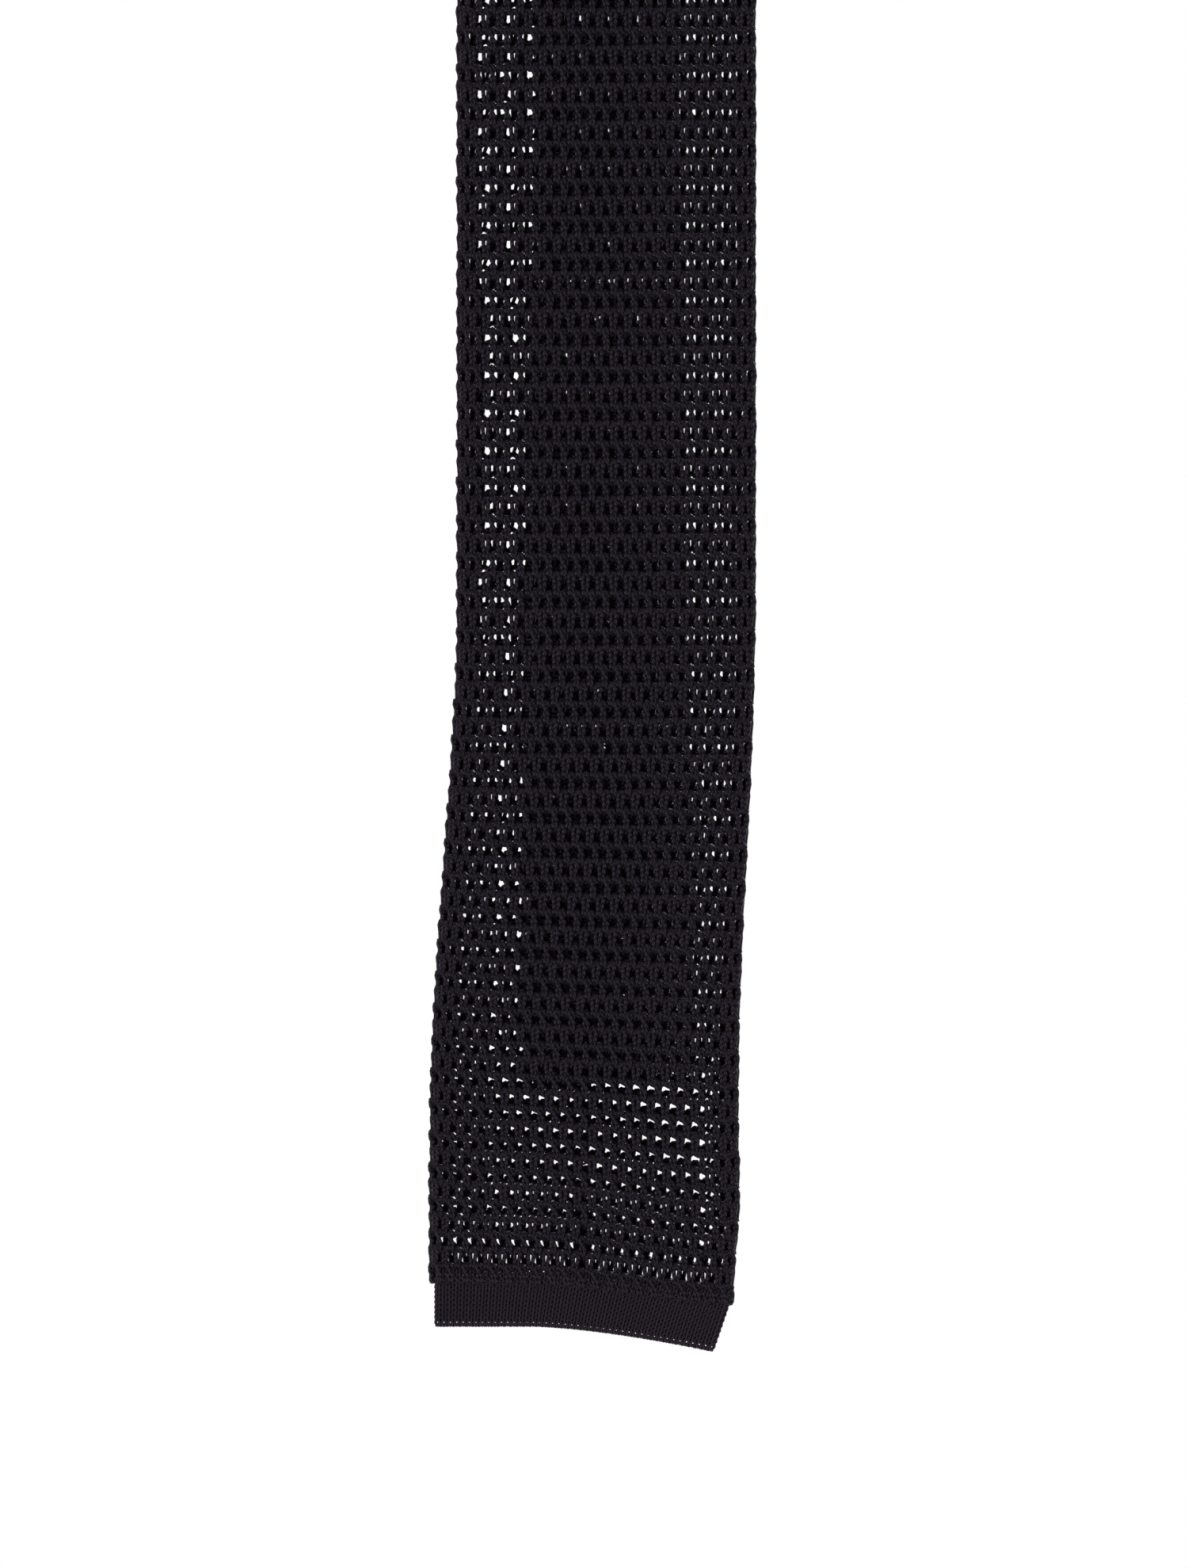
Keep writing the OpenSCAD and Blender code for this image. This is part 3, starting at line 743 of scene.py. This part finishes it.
# ---- centre back seam: the two edges of the mesh lashed together with one thread ----
seam = {"pitch": 2.9, "reach": 1.15, "thread": 0.25, "samples": 12, "sides": 5, "lie": 1.1, "depth": 0.62,
        "start": -5.0, "slant": 0.12}
seamStretches = [
    ("neck_blade", blade, seam["start"], 180, bladeBends["swing"], "neck_back_seam"),
    ("blade_upper", blade, 180, 325, bladeBends["fold"], "blade_upper_seam"),
    ("blade_lower", blade, 325, 488, bladeBends["chest"], "blade_lower_seam"),
    ("blade_curl", blade, 488, 562, bladeBends["curl"], "blade_tip_seam"),
    ("blade_tip", blade, 562, tie["hemTop"] + 1, bladeBends["tip"], "blade_tip_seam"),
    ("neck_tail", tail, seam["start"], 220, tailBends["swing"], "neck_back_seam"),
    ("tail_upper", tail, 220, 460, tailBends["fold"], "tail_upper_seam"),
    ("tail_lower", tail, 460, tie["tailHemTop"] + 1, tailBends["tip"], "tail_lower_seam"),
]
for name, part, fromDrop, toDrop, bend, node in seamStretches:
    # helix about the seam's line: across = reach cos turn, out = -lie - depth sin turn, and
    # down = pitch (turn / 2 pi + slant sin turn)
    rings = np.arange(int((toDrop - fromDrop) / seam["pitch"] * seam["samples"]) + 1)
    turn = 2 * np.pi * rings / seam["samples"]
    drop = fromDrop + seam["pitch"] * (turn / (2 * np.pi) + seam["slant"] * np.sin(turn))
    across = part["middle"](drop) + seam["reach"] * np.cos(turn)
    out = -seam["lie"] - seam["depth"] * np.sin(turn)
    centre = overBar(part["side"], across, drop, out)[None]
    normal = outward(part["side"], np.cos(turn), -np.sin(turn), drop)[None]
    piece = makeThreads(name + "_seam_thread", centre, normal, np.array([len(rings)]), seam["thread"],
                        seam["sides"], rings / seam["samples"], sewingSilk)
    follow(piece, bend)
    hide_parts(node)
print("back seams made")


shortStitch = {"rings": 9, "sides": 6, "sink": 0.35, "turns": 1.5}


def stitchRow(name, centres, direction, lift, length, threadR, body, node):
    # short stitches at the centres (n, 3), each a low arch whose ends sink into the cloth:
    # along = length t / 2 and up = lift (cos(pi t / 2) - sink)
    rings = shortStitch["rings"]
    t = np.linspace(-1, 1, rings)[None, :, None]
    arch = np.cos(np.pi * t / 2) - shortStitch["sink"]
    centre = centres[:, None] + direction * length / 2 * t + lift * arch
    normal = np.broadcast_to(lift / np.linalg.norm(lift), centre.shape)
    piece = makeThreads(name, centre, normal, np.full(len(centres), rings), threadR, shortStitch["sides"],
                        np.linspace(0, shortStitch["turns"], rings), sewingSilk)
    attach(piece, body)
    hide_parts(node)


# ---- join at the back of the neck ----
neckJoin = {"pitch": 1.9, "across": 12.4, "rise": 0.5, "reach": 1.05, "thread": 0.25, "samples": 12,
            "sides": 6, "below": 0.15}
turns = 2 * neckJoin["across"] / neckJoin["pitch"]
rings = np.arange(int(turns * neckJoin["samples"]) + 1)
turn = 2 * np.pi * rings / neckJoin["samples"]
crown = neckHigh[2] - neckJoin["below"]   # the thread's highest point, just under the top of the cloth
joinX = -neckJoin["across"] + neckJoin["pitch"] * turn / (2 * np.pi)
joinZ = crown - neckJoin["rise"] + neckJoin["rise"] * np.sin(turn)
centre = np.stack([joinX, neckJoin["reach"] * np.cos(turn), joinZ], axis=-1)[None]
normal = np.stack([0 * turn, np.cos(turn), np.sin(turn)], axis=-1)[None]
neckSeam = makeThreads("neck_join_overcasting", centre, normal, np.array([len(rings)]), neckJoin["thread"],
                       neckJoin["sides"], rings / neckJoin["samples"], sewingSilk)
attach(neckSeam, "neck")
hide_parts("neck_join_seam")

# ---- stay tape inside the neck ----
tapeLow, tapeHigh = boxOf("neck_stay_tape")
stayTape = {"width": tapeHigh[0] - tapeLow[0], "thick": 0.45, "drop": -tapeLow[2], "steps": 60}
legDrop = np.linspace(stayTape["drop"], -archLength, stayTape["steps"])
level = 0 * legDrop
tapePath = np.concatenate([overBar(front, level, legDrop, 0), overBar(rear, level, legDrop, 0)[-2::-1]])
tapeOut = np.concatenate([outward(front, level, 1, legDrop), outward(rear, level, 1, legDrop)[-2::-1]])
tapeRun = np.concatenate([[0], np.cumsum(np.linalg.norm(np.diff(tapePath, axis=0), axis=1))])
tape = makeBand("neck_stay_twill", tapePath, np.array([1.0, 0, 0]), tapeOut[:, None],
                bandOutline(stayTape["width"], stayTape["thick"], 9), tapeRun, stayCotton)
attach(tape, "neck")
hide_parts("neck_stay_tape")
print("neck made")

# ---- keeper: ribbed band on the blade's back, which the tail can be passed through ----
keeperLow, keeperHigh = boxOf("keeper_loop")
keeper = {
    "height": keeperHigh[2] - keeperLow[2], "thick": 0.8, "half": 20.4, "rise": 6.0, "bow": 4, "foot": 3.0,
    "rib": 0.9, "ribDepth": 0.09, "steps": 480,
    "drawn": 1600,                 # points of the arch before it is cut into even steps
    "blur": 12,                    # steps over which it turns its corners, to each side
    "tackX": 22.3,                 # places of the tacks: across, and in from the ends of their CAD node
    "tackIn": 0.25,
}


def makeKeeper():
    # Path: foot, arch, foot. The arch is x = half sign(c) |c|^(2 / bow), y = rise s^(2 / bow), where c and s
    # are the angle's cosine and sine.
    angle = np.linspace(np.pi, 0, keeper["drawn"])
    power = 2 / keeper["bow"]
    arch = np.stack([keeper["half"] * np.sign(np.cos(angle)) * np.abs(np.cos(angle)) ** power,
                     keeper["rise"] * np.abs(np.sin(angle)) ** power], axis=-1)
    foot = np.linspace(0, 1, 40)[:, None] * [keeper["foot"], 0]
    start = arch[:1] - [keeper["foot"], 0]
    line = np.concatenate([start + foot[:-1], arch, arch[-1:] + foot[1:]])
    run = np.concatenate([[0], np.cumsum(np.linalg.norm(np.diff(line, axis=0), axis=1))])
    even = np.linspace(0, run[-1], keeper["steps"])
    x, y = np.interp(even, run, line[:, 0]), np.interp(even, run, line[:, 1])
    blur = np.hanning(2 * keeper["blur"] + 1)
    blur /= blur.sum()
    x, y = [np.convolve(np.pad(v, keeper["blur"], mode="reflect", reflect_type="odd"), blur, mode="valid")
            for v in (x, y)]
    ahead = np.stack([np.gradient(x), np.gradient(y)], axis=-1)
    ahead /= np.linalg.norm(ahead, axis=1, keepdims=True)
    middle = (keeperLow[2] + keeperHigh[2]) / 2
    path = np.stack([x, -tie["back"] + keeper["thick"] / 2 + y, 0 * x + middle], axis=-1)
    through = np.stack([-ahead[:, 1], ahead[:, 0], 0 * x], axis=-1)
    rib = 1 + keeper["ribDepth"] / keeper["thick"] * 2 * (np.cos(2 * np.pi * even / keeper["rib"]) - 1)
    outline = bandOutline(keeper["height"], keeper["thick"], 13) * np.ones((keeper["steps"], 1, 1))
    outline[..., 1] *= rib[:, None]
    band = makeBand("keeper_grosgrain", path, np.array([0, 0, 1.0]), through[:, None], outline, even,
                    keeperRayon)
    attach(band, "blade_lower")
    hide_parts("keeper_loop")


makeKeeper()
toRear = np.array([0, 1.0, 0])
tackLow, tackHigh = boxOf("keeper_tacks")
tackHeights = np.linspace(tackLow[2] + keeper["tackIn"], tackHigh[2] - keeper["tackIn"], 7)
tackPlaces = np.array([[side * keeper["tackX"], tackLow[1] - 0.02, z]
                       for side in (-1, 1) for z in tackHeights])
stitchRow("keeper_tack_stitches", tackPlaces, np.array([1.0, 0, 0.15]), 0.28 * toRear, 2.3, 0.2,
          "blade_lower", "keeper_tacks")
print("keeper made")

# ---- blank label ----
labelLow, labelHigh = boxOf("blank_label")
label = {
    "turnIn": 4.0, "thin": 0.26, "thick": 0.4, "steps": 90,
    "pucker": [0.04, 3.1, 0.03, 7.3],                          # depth and length of two ripples
    "stitchEvery": 1.6, "stitchX": 18.9, "stitchFrom": 1.3,    # the stitches down its sides
}
x = np.linspace(labelLow[0], labelHigh[0], label["steps"])
folded = 1 - ease(labelHigh[0] - np.abs(x), label["turnIn"] - 0.5, label["turnIn"] + 0.4)
thick = label["thin"] + (label["thick"] - label["thin"]) * folded
small, smallLength, large, largeLength = label["pucker"]
pucker = small * np.sin(2 * np.pi * x / smallLength) + large * np.sin(2 * np.pi * x / largeLength)
labelY = labelLow[1] + 0.05 + thick / 2 + pucker * (1 - folded)
path = np.stack([x, labelY, 0 * x + (labelLow[2] + labelHigh[2]) / 2], axis=-1)
outline = bandOutline(labelHigh[2] - labelLow[2], label["thick"], 25) * np.ones((label["steps"], 1, 1))
outline[..., 1] *= (thick / label["thick"])[:, None]
labelCloth = makeBand("blank_label_satin", path, np.array([0, 0, 1.0]), toRear, outline, x, labelSatin)
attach(labelCloth, "blade_lower")
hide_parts("blank_label")
heights = np.arange(labelLow[2] + label["stitchFrom"], labelHigh[2] - 1, label["stitchEvery"])
places = np.array([[side * label["stitchX"], labelHigh[1] + 0.03, z] for side in (-1, 1) for z in heights])
stitchRow("label_running_stitches", places, np.array([0, 0, 1.0]), 0.14 * toRear, 1.05, 0.11, "blade_lower",
          "label_stitches")

# ---- care tag: a short loop of satin tape that hangs from its sewn ends ----
tagLow, tagHigh = boxOf("care_tag")
tag = {
    "layer": 0.14, "bend": 0.13, "lift": 0.7, "steps": 60, "ripple": [0.05, 2.4],
    "tacks": 5, "tackEvery": 3.2, "tackFrom": 1.6,
}
tagDrop = tagHigh[2] - tagLow[2] - tag["bend"] - tag["layer"] / 2
down = np.linspace(0, 1, tag["steps"])
arc = np.linspace(0, np.pi, 12)[1:-1]
lengthways = np.concatenate([tagDrop * down, tagDrop + tag["bend"] * np.sin(arc), tagDrop * down[::-1]])
depth = np.concatenate([0 * down - tag["bend"], -tag["bend"] * np.cos(arc), 0 * down + tag["bend"]])
ripple = tag["ripple"][0] * np.sin(lengthways / tag["ripple"][1])
lift = tag["lift"] * np.clip(lengthways / tagDrop, 0, 1) ** 2 + ripple
tagPath = np.stack([0 * depth + (tagLow[0] + tagHigh[0]) / 2, (tagLow[1] + tagHigh[1]) / 2 + depth + lift,
                    tagHigh[2] - lengthways], axis=-1)
ahead = np.gradient(tagPath, axis=0)
through = np.cross(ahead, [1.0, 0, 0])
through /= np.linalg.norm(through, axis=1, keepdims=True)
run = np.concatenate([[0], np.cumsum(np.linalg.norm(np.diff(tagPath, axis=0), axis=1))])
tagCloth = makeBand("care_tag_satin", tagPath, np.array([1.0, 0, 0]), through[:, None],
                    bandOutline(tagHigh[0] - tagLow[0], tag["layer"], 15), run, tagSatin)
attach(tagCloth, "care_tag")
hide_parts("care_tag")
tackX = tagLow[0] + tag["tackFrom"] + tag["tackEvery"] * np.arange(tag["tacks"])
places = np.array([[x, tagLow[1] + 0.15, tagHigh[2] + 0.55] for x in tackX])
stitchRow("care_tag_tack_stitches", places, np.array([1.0, 0, 0.1]), 0.25 * toRear, 2.4, 0.2, "blade_lower",
          "care_tag_tack")
print("label and tag made")

# ---- camera, light, floor ----
closeView = {"tall": 300.76, "middle": (-2.4, -641.0), "distance": 2400.0}   # the tie's end fills the frame
camera = bpy.data.objects.new("camera", bpy.data.cameras.new("camera"))
bpy.context.scene.collection.objects.link(camera)
camera.location = (closeView["middle"][0] * mm, -(closeView["distance"] + tie["mid"]) * mm,
                   closeView["middle"][1] * mm)
camera.rotation_euler = (math.pi / 2, 0, 0)
camera.data.sensor_width = 36.0      # the frame is taller than wide, so this is its height
camera.data.lens = camera.data.sensor_width * closeView["distance"] / closeView["tall"]
camera.data.clip_end = 60
bpy.context.scene.camera = camera
bpy.context.scene.view_settings.view_transform = "Standard"

studio = {"front": 0.015, "back": 0.35, "above": 0.35, "key": 23.0, "fill": 2.0, "rear": 26.0,
          "aim": (0, 0, -0.6)}
world = bpy.data.worlds.new("studio")
bpy.context.scene.world = world
world.use_nodes = True
tree = world.node_tree
# White for the eye; as light it is bright overhead and behind the tie, and dim before it
direction = addNode(tree, "ShaderNodeTexCoord")
axes = addNode(tree, "ShaderNodeSeparateXYZ", links={0: direction.outputs["Generated"]})
behind = addNode(tree, "ShaderNodeMapRange", {1: -0.2, 2: 0.7, 3: studio["front"], 4: studio["back"]},
                 {0: axes.outputs[1]})
above = addNode(tree, "ShaderNodeMapRange", {1: 0.1, 2: 0.95, 3: 0.0, 4: studio["above"]},
                {0: axes.outputs[2]})
sky = addNode(tree, "ShaderNodeMath", {"operation": "MAXIMUM"}, {0: behind.outputs[0], 1: above.outputs[0]})
rays = addNode(tree, "ShaderNodeLightPath")
level = addNode(tree, "ShaderNodeMix", {"data_type": "FLOAT", 3: 1.0},
                {0: rays.outputs["Is Camera Ray"], 2: sky.outputs[0]})
tree.links.new(level.outputs[0], tree.nodes["Background"].inputs["Color"])


def softBox(name, place, size):
    # a rectangular lamp turned to the tie
    lamp = bpy.data.objects.new(name, bpy.data.lights.new(name, "AREA"))
    lamp.data.shape = "RECTANGLE"
    lamp.data.size, lamp.data.size_y = size
    lamp.data.energy = studio[name]
    lamp.location = place
    aim = Vector(studio["aim"]) - Vector(place)
    lamp.rotation_euler = aim.to_track_quat("-Z", "Y").to_euler()
    bpy.context.scene.collection.objects.link(lamp)


softBox("key", (-0.9, -1.5, 1.0), (0.5, 0.5))
softBox("fill", (1.5, -1.5, -0.4), (1.0, 1.2))
softBox("rear", (0.8, 1.7, 0.6), (0.9, 0.9))

ground = {"radius": 1.5, "below": 1.0, "sides": 96}      # a disc, in metres
angle = 2 * np.pi * np.arange(ground["sides"]) / ground["sides"]
floorMesh = bpy.data.meshes.new("floor")
radius = ground["radius"]
rim = np.stack([radius * np.cos(angle), radius * np.sin(angle), 0 * angle - ground["below"]], axis=-1)
floorMesh.from_pydata(rim.tolist(), [], [tuple(range(ground["sides"]))])
floor = bpy.data.objects.new("floor", floorMesh)
bpy.context.scene.collection.objects.link(floor)
paint = {"Base Color": "#f4f3f1", "Roughness": 0.9, "Emission Strength": 0.25}
floorMesh.materials.append(startMaterial("pale matt paint", paint)[0])
print("camera, light and floor made")
